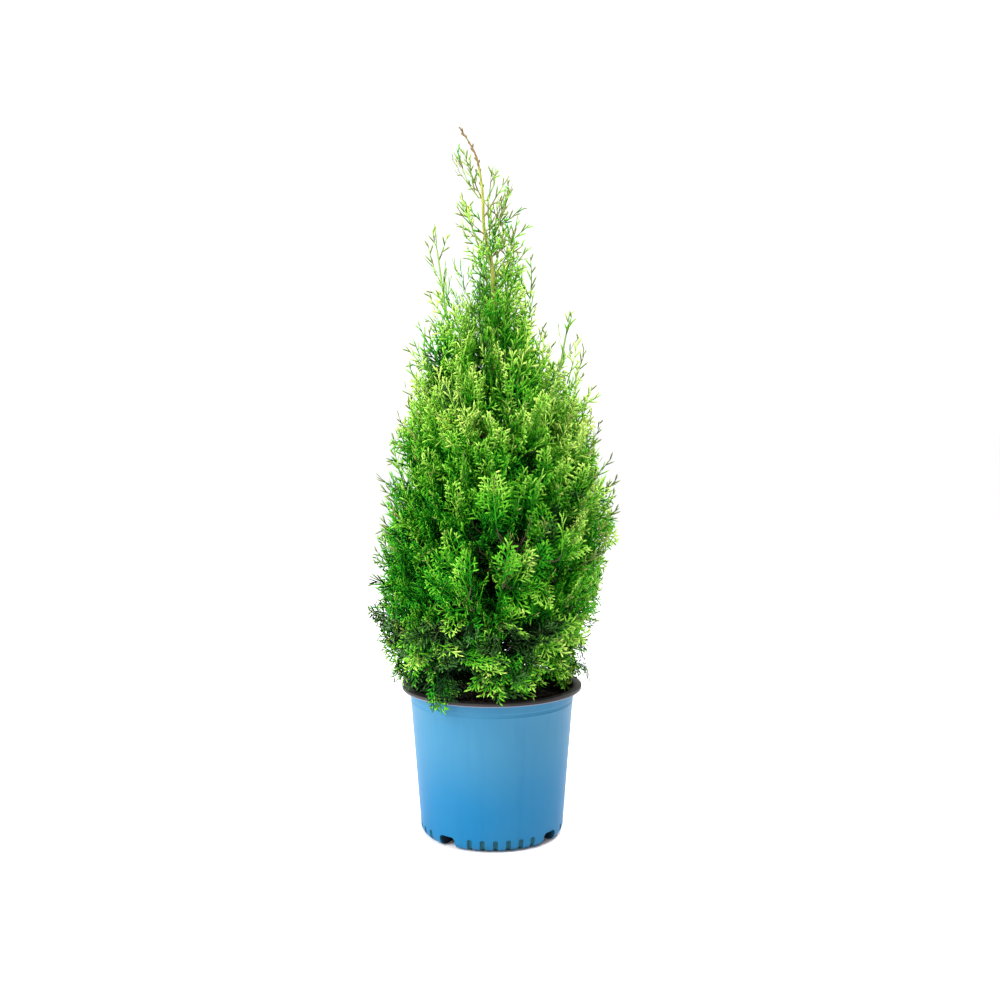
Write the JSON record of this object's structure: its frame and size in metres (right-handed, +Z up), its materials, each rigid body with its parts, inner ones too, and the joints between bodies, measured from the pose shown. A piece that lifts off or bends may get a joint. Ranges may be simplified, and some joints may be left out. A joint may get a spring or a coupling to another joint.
{
  "type": "potted arborvitae",
  "caption": "Young upright evergreen with flat scaly sprays in a dense cone, standing in a round tapered nursery pot full of potting mix.",
  "frame": {"origin": "centre of the pot's flat underside, on the surface it stands on", "axes": "+Z up along the plant, -Y towards the side that the picture shows, +X to its right"},
  "size_m": [0.3347, 0.3203, 0.9305],
  "materials": {
    "pot": "satin blue moulded plastic",
    "potting_mix": "dark crumbly bark and peat",
    "bark": "thin reddish brown bark",
    "foliage": "matt scaly evergreen sprays"
  },
  "bodies": {
    "root": {"pot": "pot", "potting_mix": "potting_mix", "trunk": "bark", "bough_01": "bark", "bough_02": "bark", "bough_03": "bark", "bough_04": "bark", "bough_05": "bark", "bough_06": "bark", "bough_07": "bark", "bough_08": "bark", "bough_09": "bark", "bough_10": "bark", "bough_11": "bark", "bough_12": "bark", "bough_13": "bark", "bough_14": "bark", "bough_15": "bark", "bough_16": "bark", "bough_17": "bark", "bough_18": "bark", "bough_side_left": "bark", "bough_side_right": "bark", "mass_01": "foliage", "mass_02": "foliage", "mass_03": "foliage", "mass_04": "foliage", "mass_05": "foliage", "mass_06": "foliage", "mass_07": "foliage", "mass_08": "foliage", "mass_09": "foliage", "mass_10": "foliage", "mass_11": "foliage", "mass_12": "foliage", "mass_13": "foliage", "mass_14": "foliage", "mass_15": "foliage", "mass_16": "foliage", "mass_17": "foliage", "mass_18": "foliage", "mass_side_left": "foliage", "mass_side_right": "foliage", "mass_shoulder_left": "foliage", "mass_shoulder_back": "foliage", "mass_shoulder_front": "foliage", "mass_shoulder_right": "foliage", "mass_throat_left": "foliage", "mass_throat_right": "foliage", "mass_neck_left": "foliage", "mass_neck_right": "foliage", "mass_leader_left": "foliage", "mass_leader_right": "foliage"}
  },
  "joints": []
}
